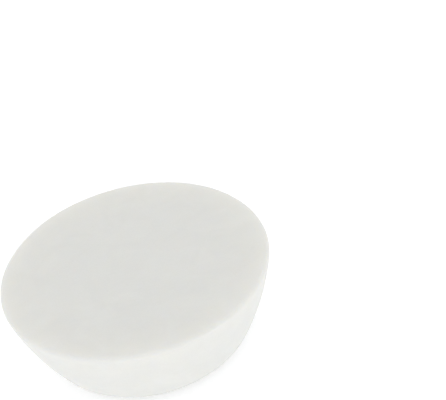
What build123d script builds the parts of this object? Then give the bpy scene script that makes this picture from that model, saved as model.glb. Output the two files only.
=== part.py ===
from build123d import *
import math
import os

# A refill puck of hard shaving soap: one solid cake, pressed in a bowl-shaped die and pushed out
# by its face. The flat face is where the wet brush is worked. The flank below it leans in and
# bulges like the side of the wooden bowl that the puck drops into, and the flat base stands on
# the bowl's floor. +Z is the puck's axis and the origin is the middle of the base. Sizes are mm.

# Driving dimensions
diameter = 77.0  # across the puck where it is widest, just under the face
height = 26.0  # from the base to the face
base_diameter = 48.0  # across the flat that the puck stands on
flank_radius = 80.0  # how far round the flank curves, seen from the side
rim_radius = 1.0  # the crisp corner round between the face and the flank
heel_radius = 7.5  # the soft corner round between the flank and the base

# The half section lies in the XZ plane: X is the distance from the axis and Z is the height
base_middle = Vector(0, 0, 0)
base_edge = Vector(base_diameter / 2, 0, 0)
face_middle = Vector(0, 0, height)
face_edge = Vector(diameter / 2 - rim_radius, 0, height)
rim_centre = face_edge - Vector(0, 0, rim_radius)
heel_centre = base_edge + Vector(0, 0, heel_radius)


def flank_centre():
    """The centre of the flank's curve, which runs on smoothly from the rim's round to the heel's."""
    to_rim = flank_radius - rim_radius
    to_heel = flank_radius - heel_radius
    chord = heel_centre - rim_centre
    along = (to_rim**2 - to_heel**2 + chord.length**2) / (2 * chord.length)
    aside = math.sqrt(to_rim**2 - along**2)
    inward = Vector(chord.Z, 0, -chord.X).normalized()
    return rim_centre + chord.normalized() * along + inward * aside


def round_between(start, end, centre, radius):
    """An arc of this centre and radius from start to end, by the short way round."""
    halfway = ((start - centre).normalized() + (end - centre).normalized()).normalized()
    return ThreePointArc(start, centre + halfway * radius, end)


def half_section():
    """Half of the puck cut through its axis: base, heel, flank, rim and face."""
    centre = flank_centre()
    flank_bottom = centre + (heel_centre - centre).normalized() * flank_radius
    flank_top = centre + (rim_centre - centre).normalized() * flank_radius
    outline = [
        Line(base_middle, base_edge),
        round_between(base_edge, flank_bottom, heel_centre, heel_radius),
        round_between(flank_bottom, flank_top, centre, flank_radius),
        round_between(flank_top, face_edge, rim_centre, rim_radius),
        Line(face_edge, face_middle),
        Line(face_middle, base_middle),
    ]
    return make_face(outline)


def soap_puck():
    """The whole cake, its half section turned once round the axis."""
    return revolve(half_section(), Axis.Z)


os.makedirs("parts", exist_ok=True)
puck = soap_puck()
export_step(puck, "parts/soap_puck.step")
print("soap_puck volume in cm3:", round(puck.volume / 1000, 2))
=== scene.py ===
import logging
import math
import random
from dataclasses import dataclass, field, replace
from enum import Enum
from typing import Any, Union

import bmesh
import bpy
from mathutils import Matrix, Vector, noise


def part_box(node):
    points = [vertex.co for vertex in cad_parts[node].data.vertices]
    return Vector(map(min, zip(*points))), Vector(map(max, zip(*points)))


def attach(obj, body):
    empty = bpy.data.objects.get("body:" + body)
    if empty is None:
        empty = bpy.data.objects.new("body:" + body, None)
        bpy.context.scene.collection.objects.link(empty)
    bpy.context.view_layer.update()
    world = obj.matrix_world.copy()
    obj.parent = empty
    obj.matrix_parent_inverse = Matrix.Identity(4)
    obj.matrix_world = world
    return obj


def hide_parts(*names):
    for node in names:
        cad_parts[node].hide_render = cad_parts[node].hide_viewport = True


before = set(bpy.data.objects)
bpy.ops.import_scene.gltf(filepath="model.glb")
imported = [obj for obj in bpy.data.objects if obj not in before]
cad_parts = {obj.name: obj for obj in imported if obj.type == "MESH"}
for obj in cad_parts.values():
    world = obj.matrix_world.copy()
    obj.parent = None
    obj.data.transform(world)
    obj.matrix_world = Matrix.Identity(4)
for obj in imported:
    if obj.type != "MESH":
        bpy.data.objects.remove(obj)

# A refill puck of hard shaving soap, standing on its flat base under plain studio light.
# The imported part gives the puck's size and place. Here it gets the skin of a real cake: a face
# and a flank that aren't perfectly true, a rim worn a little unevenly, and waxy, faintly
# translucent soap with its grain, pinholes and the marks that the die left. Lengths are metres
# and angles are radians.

log = logging.getLogger("soap_puck")

MM = 0.001
WHITE = (1.0, 1.0, 1.0, 1.0)
UP = Vector((0.0, 0.0, 1.0))
SECTORS = 6  # a disc is laid in six wedges, so that its triangles come out nearly equal

Amount = Union["Signal", float]
Colour = tuple[float, float, float]


class Surface(Enum):
    """The stretches of the puck's half section, from the middle of the base round to the face."""

    BASE = "base"
    HEEL = "heel"
    FLANK = "flank"
    RIM = "rim"
    FACE = "face"


def put_in_scene(name: str, data: bpy.types.ID) -> bpy.types.Object:
    """Makes an object of some data and puts it in the scene.

    Args:
        name: What the object is called.
        data: Its mesh, light or camera.

    Returns:
        The object.
    """
    thing = bpy.data.objects.new(name, data)
    bpy.context.scene.collection.objects.link(thing)
    return thing


# ---------------------------------------------------------------------------------------------
# Shader building
# ---------------------------------------------------------------------------------------------


@dataclass(frozen=True)
class Pattern:
    """A pattern of soft noise: the size of its blotches, how fine it goes and how it is stirred."""

    size: float
    detail: float = 2.0
    swirl: float = 0.0


class Signal:
    """One output of a shader node, on which Python's arithmetic signs add Math nodes."""

    def __init__(self, bench: "Bench", socket: bpy.types.NodeSocket) -> None:
        """Keeps the socket and the bench that its node stands on."""
        self.bench = bench
        self.socket = socket

    def output(self, name: str) -> "Signal":
        """Another output of the same node, by name."""
        return Signal(self.bench, self.socket.node.outputs[name])

    def __add__(self, other: Amount) -> "Signal":
        """self + other."""
        return self.bench.math("ADD", self, other)

    def __radd__(self, other: float) -> "Signal":
        """other + self."""
        return self.bench.math("ADD", other, self)

    def __sub__(self, other: Amount) -> "Signal":
        """self - other."""
        return self.bench.math("SUBTRACT", self, other)

    def __rsub__(self, other: float) -> "Signal":
        """other - self."""
        return self.bench.math("SUBTRACT", other, self)

    def __mul__(self, other: Amount) -> "Signal":
        """self * other."""
        return self.bench.math("MULTIPLY", self, other)

    def __rmul__(self, other: float) -> "Signal":
        """other * self."""
        return self.bench.math("MULTIPLY", other, self)


class Bench:
    """A node tree, and the ways to add to it."""

    def __init__(self, tree: bpy.types.NodeTree) -> None:
        """Clears a node tree to build on."""
        self.tree = tree
        self.tree.nodes.clear()

    def plug(self, socket: bpy.types.NodeSocket, value: Any) -> None:
        """Links a signal to a socket, or sets a plain value on it.

        Args:
            socket: The input that takes the value.
            value: A Signal, a number, or as many numbers as the socket holds.
        """
        if isinstance(value, Signal):
            self.tree.links.new(value.socket, socket)
        else:
            socket.default_value = value

    def put(
        self,
        kind: str,
        settings: dict[str, Any] | None = None,
        inputs: dict[str | int, Any] | None = None,
    ) -> bpy.types.Node:
        """Puts a node on the bench.

        Args:
            kind: The node's type.
            settings: The node's own settings, which are made before any socket is touched.
            inputs: A value or a Signal for each socket, by its name or its number.

        Returns:
            The node.
        """
        node = self.tree.nodes.new(kind)
        for key, value in (settings or {}).items():
            setattr(node, key, value)
        for key, value in (inputs or {}).items():
            self.plug(node.inputs[key], value)
        return node

    def add(
        self,
        kind: str,
        settings: dict[str, Any] | None = None,
        inputs: dict[str | int, Any] | None = None,
        output: str | int = 0,
    ) -> Signal:
        """Puts a node on the bench and takes one of its outputs.

        Args:
            kind: The node's type.
            settings: The node's own settings.
            inputs: A value or a Signal for each socket.
            output: The output that is wanted, by its name or its number.

        Returns:
            The wanted output.
        """
        return Signal(self, self.put(kind, settings, inputs).outputs[output])

    def math(self, operation: str, first: Amount, second: Amount) -> Signal:
        """A Math node on two amounts."""
        return self.add("ShaderNodeMath", {"operation": operation}, {0: first, 1: second})

    def ramp(self, amount: Signal, low: float, high: float) -> Signal:
        """A soft step from 0 to 1, eased at both ends.

        Args:
            amount: What is measured.
            low: Where the step is still 0.
            high: Where the step is already 1. It may be less than low.

        Returns:
            The step.
        """
        inputs = {"Value": amount, "From Min": low, "From Max": high}
        return self.add("ShaderNodeMapRange", {"interpolation_type": "SMOOTHSTEP"}, inputs)

    def noise(self, place: Signal, pattern: Pattern) -> Signal:
        """Soft noise about 0.

        Args:
            place: Where it is read, in metres.
            pattern: What it looks like.

        Returns:
            Noise from about -0.5 to 0.5.
        """
        inputs = {
            "Vector": place,
            "Scale": 1 / pattern.size,
            "Detail": pattern.detail,
            "Distortion": pattern.swirl,
        }
        return self.add("ShaderNodeTexNoise", {"noise_dimensions": "3D"}, inputs) - 0.5

    def stretch(self, place: Signal, scale: tuple[float, float, float]) -> Signal:
        """A place with each of its coordinates scaled."""
        return self.add("ShaderNodeVectorMath", {"operation": "MULTIPLY"}, {0: place, 1: scale})

    def between(self, dark: Colour, light: Colour, share: Signal) -> Signal:
        """A colour between two.

        Args:
            dark: The colour at 0.
            light: The colour at 1.
            share: How far it is from the dark to the light one.

        Returns:
            The colour.
        """
        settings = {"data_type": "RGBA", "clamp_factor": True}
        factor, first, second, result = 0, 6, 7, 2  # the sockets that the node uses for colours
        inputs = {factor: share, first: (*dark, 1.0), second: (*light, 1.0)}
        return self.add("ShaderNodeMix", settings, inputs, output=result)


class Finish(Bench):
    """A material, built round one Principled shader."""

    def __init__(self, name: str) -> None:
        """Makes a material with the shader and nothing else.

        Args:
            name: What the material is called.
        """
        self.material = bpy.data.materials.new(name)
        self.material.use_nodes = True
        super().__init__(self.material.node_tree)
        self.shader = self.put("ShaderNodeBsdfPrincipled")
        skin = Signal(self, self.shader.outputs["BSDF"])
        self.put("ShaderNodeOutputMaterial", inputs={"Surface": skin})

    def give(self, inputs: dict[str, Any]) -> None:
        """Plugs values or signals into the shader.

        Args:
            inputs: A value or a Signal for each socket, by its name.
        """
        for key, value in inputs.items():
            self.plug(self.shader.inputs[key], value)


# ---------------------------------------------------------------------------------------------
# Finishes
# ---------------------------------------------------------------------------------------------


@dataclass(frozen=True)
class SoapFinish:
    """Hard milled soap: off-white, waxy, and clear enough for light to spread inside it."""

    name: str = "milled_shaving_soap"
    dark: Colour = (0.741, 0.744, 0.717)
    light: Colour = (0.801, 0.804, 0.775)
    clearness: float = 0.4
    spread_depth: float = 9.0 * MM
    spread_share: Colour = (1.0, 0.86, 0.62)
    refraction: float = 1.45
    gloss: float = 0.25
    roughness: float = 0.46

    # What varies the colour and the gloss
    marbling: Pattern = Pattern(11.0 * MM, detail=3.0, swirl=1.4)
    marbling_tint: float = 0.9
    ribbons: Pattern = Pattern(2.4 * MM, swirl=2.2)
    ribbon_tint: float = 0.35
    specks: Pattern = Pattern(0.40 * MM, detail=1.0)
    speck_tint: float = 0.6
    clouds: Pattern = Pattern(5.5 * MM, detail=3.0)
    cloud_roughness: float = 0.16

    # The fine relief that is all over the skin
    grain: Pattern = Pattern(0.40 * MM)
    grain_height: float = 0.012 * MM
    swell: Pattern = Pattern(2.2 * MM)
    swell_height: float = 0.040 * MM

    # The drag marks on the flank: how drawn out they are, and how far below the face they start
    # and are full
    drag: Pattern = Pattern(0.50 * MM, detail=3.0)
    drag_stretch: float = 20.0
    drag_start: float = 0.2 * MM
    drag_full: float = 0.8 * MM
    drag_height: float = 0.022 * MM
    drag_roughness: float = 0.12

    # The pinholes: how far apart their cells are, the radii of a hole's edge and of its floor,
    # and the draws, out of 1, up to which a cell has none and from which it has a deep one
    pinhole_gap: float = 2.6 * MM
    pinhole_edge: float = 0.18 * MM
    pinhole_floor: float = 0.072 * MM
    pinhole_depth: float = 0.07 * MM
    # How much darker the colour is inside a pinhole: painted shade in the hollow, not a colour of
    # the soap
    pinhole_painted_shade: float = 0.5
    pinhole_none: float = 0.55
    pinhole_deep: float = 0.75

    def make(self, height: float) -> bpy.types.Material:
        """Builds the material.

        Args:
            height: How high the puck's face is above its base.

        Returns:
            The soap's material.
        """
        bench = Finish(self.name)
        place = bench.add("ShaderNodeTexCoord", output="Object")
        streaks = self.streaks(bench, place, height)
        holes = self.pinholes(bench, place)
        bench.shader.subsurface_method = "RANDOM_WALK"
        bench.give({
            "Base Color": self.tint(bench, place, holes),
            "Roughness": self.polish(bench, place, streaks),
            "Normal": self.relief(bench, place, streaks, holes),
            "Subsurface Weight": self.clearness,
            "Subsurface Radius": self.spread_share,
            "Subsurface Scale": self.spread_depth,
            "IOR": self.refraction,
            "Specular IOR Level": self.gloss,
        })
        return bench.material

    def streaks(self, bench: Finish, place: Signal, height: float) -> Signal:
        """The marks that the die left as the cake slid out of it.

        Args:
            bench: Where the material is built.
            place: The place on the puck, in metres.
            height: How high the face is.

        Returns:
            Noise about 0, drawn out up the flank and fading to none at the face.
        """
        level = bench.add("ShaderNodeSeparateXYZ", inputs={"Vector": place}, output="Z")
        on_flank = bench.ramp(level, height - self.drag_start, height - self.drag_full)
        squeezed = bench.stretch(place, (1.0, 1.0, 1 / self.drag_stretch))
        return bench.noise(squeezed, self.drag) * on_flank

    def pinholes(self, bench: Finish, place: Signal) -> Signal:
        """Where the air bubbles of the pressed soap broke open.

        Args:
            bench: Where the material is built.
            place: The place on the puck, in metres.

        Returns:
            1 in a pinhole and 0 elsewhere. Fewer than half of the cells have one.
        """
        inputs = {"Vector": place, "Scale": 1 / self.pinhole_gap, "Randomness": 1.0}
        away = bench.add("ShaderNodeTexVoronoi", {"feature": "F1"}, inputs, output="Distance")
        colour = away.output("Color")
        draw = bench.add("ShaderNodeSeparateColor", inputs={"Color": colour}, output="Red")
        edge = self.pinhole_edge / self.pinhole_gap
        floor = self.pinhole_floor / self.pinhole_gap
        hole = bench.ramp(away, edge, floor)
        return hole * bench.ramp(draw, self.pinhole_none, self.pinhole_deep)

    def tint(self, bench: Finish, place: Signal, holes: Signal) -> Signal:
        """The soap's colour: marbling and thin ribbons from the mill, fine specks, and painted
        shade that darkens the pinholes.

        Args:
            bench: Where the material is built.
            place: The place on the puck, in metres.
            holes: 1 inside a pinhole and 0 elsewhere.

        Returns:
            The colour.
        """
        marbling = bench.noise(place, self.marbling) * self.marbling_tint
        ribbons = bench.noise(place, self.ribbons) * self.ribbon_tint
        specks = bench.noise(place, self.specks) * self.speck_tint
        # The pinholes are darkened here with painted shade
        share = 0.5 + marbling + ribbons + specks - holes * self.pinhole_painted_shade
        return bench.between(self.dark, self.light, share)

    def polish(self, bench: Finish, place: Signal, streaks: Signal) -> Signal:
        """How rough the skin is: cloudy all over, and streaked where the die rubbed.

        Args:
            bench: Where the material is built.
            place: The place on the puck, in metres.
            streaks: The drag marks, which the face has none of.

        Returns:
            The roughness.
        """
        cloudy = bench.noise(place, self.clouds) * self.cloud_roughness
        return self.roughness + cloudy + streaks * self.drag_roughness

    def relief(self, bench: Finish, place: Signal, streaks: Signal, holes: Signal) -> Signal:
        """The skin's fine relief: grain, a waxy swell, drag marks and pinholes.

        Args:
            bench: Where the material is built.
            place: The place on the puck, in metres.
            streaks: The drag marks, which the face has none of.
            holes: 1 inside a pinhole and 0 elsewhere.

        Returns:
            The bumped normal.
        """
        grain = bench.noise(place, self.grain) * self.grain_height
        swell = bench.noise(place, self.swell) * self.swell_height
        drag = streaks * self.drag_height
        height = grain + swell + drag - holes * self.pinhole_depth
        metres = 1.0
        return bench.add("ShaderNodeBump", inputs={"Distance": metres, "Height": height})


@dataclass(frozen=True)
class PaperFinish:
    """The matt white paper that the puck stands on, a shade cooler than the soap."""

    name: str = "studio_paper"
    dark: Colour = (0.922, 0.926, 0.940)
    light: Colour = (0.942, 0.946, 0.960)
    clouds: Pattern = Pattern(40.0 * MM, detail=3.0)
    roughness: float = 0.9
    gloss: float = 0.1
    glow: float = 0.24

    def make(self) -> bpy.types.Material:
        """Builds the material: white, with the faint cloudiness of paper.

        Returns:
            The paper's material.
        """
        bench = Finish(self.name)
        place = bench.add("ShaderNodeTexCoord", output="Object")
        share = bench.noise(place, self.clouds) + 0.5
        bench.give({
            "Base Color": bench.between(self.dark, self.light, share),
            "Roughness": self.roughness,
            "Specular IOR Level": self.gloss,
            "Emission Color": WHITE,
            "Emission Strength": self.glow,
        })
        return bench.material


# ---------------------------------------------------------------------------------------------
# The puck
# ---------------------------------------------------------------------------------------------


@dataclass(frozen=True)
class Station:
    """One place on the half section: where it is, which way it faces, and on which stretch."""

    radius: float
    height: float
    facing: tuple[float, float]
    surface: Surface


@dataclass(frozen=True)
class HalfSection:
    """The puck's outline from its axis outward: base, heel, flank, rim and face."""

    widest: float
    height: float
    base_radius: float = 24.0 * MM
    flank_radius: float = 80.0 * MM
    rim_radius: float = 1.0 * MM
    heel_radius: float = 7.5 * MM

    def rim_centre(self) -> Vector:
        """The middle of the rim's round, as (distance from the axis, height)."""
        return Vector((self.widest - self.rim_radius, self.height - self.rim_radius))

    def heel_centre(self) -> Vector:
        """The middle of the heel's round."""
        return Vector((self.base_radius, self.heel_radius))

    def flank_centre(self) -> Vector:
        """Works out the middle of the flank's long curve, which touches both rounds.

        Returns:
            The middle, as (distance from the axis, height). It lies beyond the axis.
        """
        rim, heel = self.rim_centre(), self.heel_centre()
        to_rim = self.flank_radius - self.rim_radius
        to_heel = self.flank_radius - self.heel_radius
        chord = heel - rim
        along = (to_rim**2 - to_heel**2 + chord.length_squared) / (2 * chord.length)
        aside = math.sqrt(to_rim**2 - along**2)
        inward = Vector((chord.y, -chord.x)).normalized()
        return rim + chord.normalized() * along + inward * aside

    def base_edge(self) -> Station:
        """The edge of the flat that the puck stands on."""
        return Station(self.base_radius, 0.0, (0.0, -1.0), Surface.BASE)

    def face_edge(self) -> Station:
        """The edge of the flat face."""
        return Station(self.widest - self.rim_radius, self.height, (0.0, 1.0), Surface.FACE)

    def arc(self, centre: Vector, radius: float, start: float, end: float, count: int,
            surface: Surface) -> list[Station]:
        """Stations along an arc, without its first end.

        Args:
            centre: The arc's middle.
            radius: Its radius.
            start: The angle that it starts at, from the outward level direction.
            end: The angle that it ends at.
            count: How many stations it gets.
            surface: The stretch that they are on.

        Returns:
            The stations, in order.
        """
        stations = []
        for step in range(1, count + 1):
            angle = start + (end - start) * step / count
            facing = (math.cos(angle), math.sin(angle))
            place = (centre.x + radius * facing[0], centre.y + radius * facing[1])
            stations.append(Station(*place, facing, surface))
        return stations

    def sides(self, heel_count: int, flank_count: int, rim_count: int) -> list[Station]:
        """Everything between the flat base and the flat face.

        Args:
            heel_count: How many rings the heel gets.
            flank_count: How many rings the flank gets.
            rim_count: How many rings the rim gets.

        Returns:
            The stations from just above the base's edge to the face's edge.
        """
        centre = self.flank_centre()
        low = self.heel_centre() - centre
        high = self.rim_centre() - centre
        low_angle = math.atan2(low.y, low.x)
        high_angle = math.atan2(high.y, high.x)
        down, up = -math.pi / 2, math.pi / 2
        return [
            *self.arc(self.heel_centre(), self.heel_radius, down, low_angle, heel_count,
                      Surface.HEEL),
            *self.arc(centre, self.flank_radius, low_angle, high_angle, flank_count,
                      Surface.FLANK),
            *self.arc(self.rim_centre(), self.rim_radius, high_angle, up, rim_count,
                      Surface.RIM),
        ]


@dataclass(frozen=True)
class Nick:
    """A crumb missing from the rim: where it is, how wide, and how deep."""

    heading: float
    width: float
    depth: float

    def bite(self, heading: float, radius: float) -> float:
        """How much of the nick's depth is missing at a heading on a circle of this radius."""
        away = math.remainder(heading - self.heading, math.tau) * radius / (self.width / 2)
        return self.depth * math.exp(-away * away)


@dataclass
class SoapPuck:
    """The cake of soap, as a closed skin of fine triangles laid ring by ring."""

    section: HalfSection
    name: str = "shaving_soap_puck"
    node: str = "soap_puck"
    slot: str = "shaving_soap"

    disc_rings: int = 80
    heel_rings: int = 16
    flank_rings: int = 40
    rim_rings: int = 7

    # How far the cake is from true: out of round, dished, warped and rippled
    oval: float = 0.22 * MM
    oval_heading: float = math.radians(135.0)
    dish: float = 0.10 * MM
    warp: float = 0.09 * MM
    warp_span: float = 22.0 * MM
    ripple: float = 0.015 * MM
    ripple_span: float = 5.0 * MM
    ripple_start: tuple[float, float, float] = (7.0, 3.0, 1.0)

    # The wear of the rim, which reaches so many of the rim's radii: rubbed, crumbled and nicked
    wear_depth: float = 0.10 * MM
    wear_reach: float = 3.0
    rub_share: float = 0.7
    rub_span: float = 6.0 * MM
    crumble_share: float = 0.3
    crumble_span: float = 1.6 * MM
    crumble_level: float = 5.0 * MM
    nick_count: int = 9
    nick_widths: tuple[float, float] = (0.5 * MM, 1.3 * MM)
    nick_depths: tuple[float, float] = (0.04 * MM, 0.12 * MM)
    seed: int = 27
    nicks: list[Nick] = field(init=False)

    def __post_init__(self) -> None:
        """Draws the crumbs that are missing from the rim, the same ones every time."""
        draw = random.Random(self.seed)
        self.nicks = [
            Nick(draw.uniform(0, math.tau), draw.uniform(*self.nick_widths),
                 draw.uniform(*self.nick_depths))
            for _ in range(self.nick_count)
        ]

    @classmethod
    def from_frame(cls) -> "SoapPuck":
        """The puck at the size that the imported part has."""
        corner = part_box(cls.node)[1]
        return cls(HalfSection(widest=corner.x, height=corner.z))

    def build(self) -> bpy.types.Object:
        """Lays the skin, dresses it, and puts it in the place of the plain part.

        Returns:
            The finished piece.
        """
        mesh = self.lay_skin()
        mesh.materials.append(SoapFinish().make(self.section.height))
        piece = put_in_scene(self.name, mesh)
        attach(piece, "root")
        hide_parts(self.node)
        return piece

    def lay_skin(self) -> bpy.types.Mesh:
        """Lays the base, the sides and the face as one closed and smooth skin.

        Returns:
            The skin.
        """
        skin = bmesh.new()
        lower = self.lay_disc(skin, self.section.base_edge())
        sides = self.section.sides(self.heel_rings, self.flank_rings, self.rim_rings)
        for station in sides[:-1]:  # the last one is the face's own edge
            upper = self.lay_ring(skin, station, SECTORS * self.disc_rings)
            self.join_rings(skin, lower, upper)
            lower = upper
        self.join_rings(skin, lower, self.lay_disc(skin, self.section.face_edge()))
        for face in skin.faces:
            face.smooth = True
        mesh = bpy.data.meshes.new(self.name)
        skin.to_mesh(mesh)
        skin.free()
        return mesh

    def lay_disc(self, skin: bmesh.types.BMesh, edge: Station) -> list[bmesh.types.BMVert]:
        """Fills the base or the face with near-equal triangles, ring round ring.

        Args:
            skin: The mesh that is being laid.
            edge: The outer edge of the flat.

        Returns:
            The outermost ring, which the sides join.
        """
        winding = 1 if edge.surface is Surface.FACE else -1
        inner = self.lay_ring(skin, replace(edge, radius=0.0), 1)
        for number in range(1, self.disc_rings + 1):
            radius = edge.radius * number / self.disc_rings
            outer = self.lay_ring(skin, replace(edge, radius=radius), SECTORS * number)
            for sector in range(SECTORS):
                for step in range(number):
                    at_outer = sector * number + step
                    at_inner = sector * (number - 1) + step
                    here = outer[at_outer]
                    after = outer[(at_outer + 1) % len(outer)]
                    within = inner[at_inner % len(inner)]
                    skin.faces.new((here, after, within)[::winding])
                    if step < number - 1:
                        within_after = inner[(at_inner + 1) % len(inner)]
                        skin.faces.new((within, after, within_after)[::winding])
            inner = outer
        return inner

    def lay_ring(self, skin: bmesh.types.BMesh, station: Station,
                 count: int) -> list[bmesh.types.BMVert]:
        """Lays one ring of points, each moved off the true shape by the cake's unevenness.

        Args:
            skin: The mesh that is being laid.
            station: Where on the half section the ring is.
            count: How many points it has.

        Returns:
            The ring's points, anticlockwise from +X.
        """
        ring = []
        for step in range(count):
            heading = math.tau * step / count
            across = Vector((math.cos(heading), math.sin(heading), 0.0))
            point = across * station.radius + UP * station.height
            facing = across * station.facing[0] + UP * station.facing[1]
            ring.append(skin.verts.new(self.settle(point, facing, heading, station)))
        return ring

    def join_rings(self, skin: bmesh.types.BMesh, lower: list[bmesh.types.BMVert],
                   upper: list[bmesh.types.BMVert]) -> None:
        """Closes the band between two rings of as many points.

        Args:
            skin: The mesh that is being laid.
            lower: The ring nearer to the base.
            upper: The ring nearer to the face.
        """
        for step, corner in enumerate(lower):
            after = (step + 1) % len(lower)
            skin.faces.new((corner, lower[after], upper[after], upper[step]))

    def settle(self, point: Vector, facing: Vector, heading: float, station: Station) -> Vector:
        """Moves a point off the true shape, as pressing, drying and handling moved the real one.

        Args:
            point: The point on the true shape.
            facing: The outward direction there.
            heading: Its direction from the axis.
            station: Where on the half section it is.

        Returns:
            The point in its real place. The base stays flat, because the puck stands on it.
        """
        share = point.xy.length / self.section.widest
        out_of_round = self.oval * math.cos(2 * (heading - self.oval_heading)) * share
        moved = point + Vector((point.x, point.y, 0.0)).normalized() * out_of_round
        if station.surface is Surface.BASE:
            return moved
        ripple_at = point / self.ripple_span + Vector(self.ripple_start)
        moved += facing * (self.warp * noise.noise(point / self.warp_span))
        moved += facing * (self.ripple * noise.noise(ripple_at))
        if station.surface is Surface.FACE:
            moved.z -= self.dish * (1 - share * share)
        moved -= facing * self.wear(point, heading)
        moved.z = max(moved.z, 0.0)
        return moved

    def wear(self, point: Vector, heading: float) -> float:
        """How much soap is rubbed or chipped off, which is nothing away from the rim.

        Args:
            point: A point on the true shape.
            heading: Its direction from the axis.

        Returns:
            The depth that is missing there.
        """
        corner = Vector((self.section.widest, self.section.height))
        away = (Vector((point.xy.length, point.z)) - corner).length / self.section.rim_radius
        if away > self.wear_reach:
            return 0.0
        rub_at = Vector((point.x, point.y, 0.0)) / self.rub_span
        crumble_at = Vector((point.x, point.y, self.crumble_level)) / self.crumble_span
        rubbed = self.rub_share * (0.5 + 0.5 * noise.noise(rub_at))
        crumbled = self.crumble_share * (0.5 + 0.5 * noise.noise(crumble_at))
        chips = sum(nick.bite(heading, self.section.widest) for nick in self.nicks)
        return (self.wear_depth * (rubbed + crumbled) + chips) * math.exp(-away * away)


# ---------------------------------------------------------------------------------------------
# The studio
# ---------------------------------------------------------------------------------------------


@dataclass(frozen=True)
class Panel:
    """A wide soft light in front of the puck."""

    name: str = "panel"
    elevation: float = math.radians(24.0)
    distance: float = 1.1
    width: float = 1.0
    tall: float = 0.6
    power: float = 0.5

    def hang(self, target: Vector) -> bpy.types.Object:
        """Hangs the light, turned to the target and out of every camera's sight.

        Args:
            target: The point that it looks at.

        Returns:
            The light.
        """
        data = bpy.data.lights.new(self.name, "AREA")
        data.shape = "RECTANGLE"
        data.size = self.width
        data.size_y = self.tall
        data.energy = self.power
        lamp = put_in_scene(self.name, data)
        back = Vector((0.0, -math.cos(self.elevation), math.sin(self.elevation)))
        lamp.location = target + back * self.distance
        lamp.rotation_mode = "QUATERNION"
        lamp.rotation_quaternion = (-back).to_track_quat("-Z", "Y")
        lamp.visible_camera = False
        return lamp


@dataclass(frozen=True)
class Eye:
    """The camera, placed from the middle of the puck's face."""

    distance: float = 347.7 * MM
    elevation: float = math.radians(37.9)
    lean: float = math.radians(12.04)
    aim: tuple[float, float] = (30.3 * MM, 17.25 * MM)
    film: float = 36.0
    lens: float = 99.28
    nearest: float = 0.01
    farthest: float = 100.0

    def place(self, face_height: float) -> bpy.types.Object:
        """Sets the camera up.

        Args:
            face_height: How high the puck's face is above the floor.

        Returns:
            The camera.
        """
        back = Vector((0.0, -math.cos(self.elevation), math.sin(self.elevation)))
        eye = UP * face_height + back * self.distance
        sight = (Vector((*self.aim, face_height)) - eye).normalized()
        level = sight.cross(UP).normalized()
        plumb = level.cross(sight)
        above = plumb * math.cos(self.lean) + level * math.sin(self.lean)
        beside = sight.cross(above)
        data = bpy.data.cameras.new("camera")
        data.sensor_width = self.film
        data.lens = self.lens
        data.clip_start = self.nearest
        data.clip_end = self.farthest
        camera = put_in_scene("camera", data)
        turn = Matrix((beside, above, -sight)).transposed().to_4x4()
        camera.matrix_world = Matrix.Translation(eye) @ turn
        bpy.context.scene.camera = camera
        return camera


@dataclass
class Studio:
    """A light tent: white paper under the puck, and white cloth all round and overhead."""

    face_height: float
    floor_radius: float = 6.0
    floor_corners: int = 96
    floor_drop: float = 0.02 * MM
    wall_light: float = 1.0
    roof_light: float = 0.91
    wall_top: float = 0.10
    roof_edge: float = 0.4

    def build(self) -> list[bpy.types.Object]:
        """Lays the floor, lights the tent, and sets up the panel and the camera.

        Returns:
            The floor, the panel and the camera.
        """
        floor = self.lay_floor()
        self.light_tent()
        panel = Panel().hang(UP * self.face_height)
        camera = Eye().place(self.face_height)
        bpy.context.scene.view_settings.view_transform = "Standard"
        return [floor, panel, camera]

    def lay_floor(self) -> bpy.types.Object:
        """Lays a wide round sheet of paper just under the base.

        Returns:
            The floor.
        """
        sheet = bmesh.new()
        rim = []
        for step in range(self.floor_corners):
            heading = math.tau * step / self.floor_corners
            across = Vector((math.cos(heading), math.sin(heading), 0.0))
            rim.append(sheet.verts.new(across * self.floor_radius - UP * self.floor_drop))
        sheet.faces.new(rim)
        mesh = bpy.data.meshes.new("floor")
        sheet.to_mesh(mesh)
        sheet.free()
        mesh.materials.append(PaperFinish().make())
        floor = put_in_scene("floor", mesh)
        return floor

    def light_tent(self) -> None:
        """Makes the cloth glow all round, and a little less overhead than at the sides."""
        world = bpy.data.worlds.new("light_tent")
        world.use_nodes = True
        bench = Bench(world.node_tree)
        way = bench.add("ShaderNodeTexCoord", output="Generated")
        rise = bench.add("ShaderNodeSeparateXYZ", inputs={"Vector": way}, output="Z")
        wall = bench.ramp(rise, self.roof_edge, self.wall_top)
        strength = self.roof_light + (self.wall_light - self.roof_light) * wall
        inputs = {"Color": WHITE, "Strength": strength}
        cloth = bench.add("ShaderNodeBackground", inputs=inputs)
        bench.put("ShaderNodeOutputWorld", inputs={"Surface": cloth})
        bpy.context.scene.world = world


def main() -> None:
    """Builds the puck and then the studio round it, and reports each piece."""
    logging.basicConfig(level=logging.INFO, format="%(name)s: %(message)s")
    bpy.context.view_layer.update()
    puck = SoapPuck.from_frame()
    studio = Studio(face_height=puck.section.height)
    for piece in (puck.build(), *studio.build()):
        faces = len(piece.data.polygons) if piece.type == "MESH" else 0
        log.info("%s: %s, %d faces", piece.name, piece.type.lower(), faces)


if __name__ == "__main__":
    main()
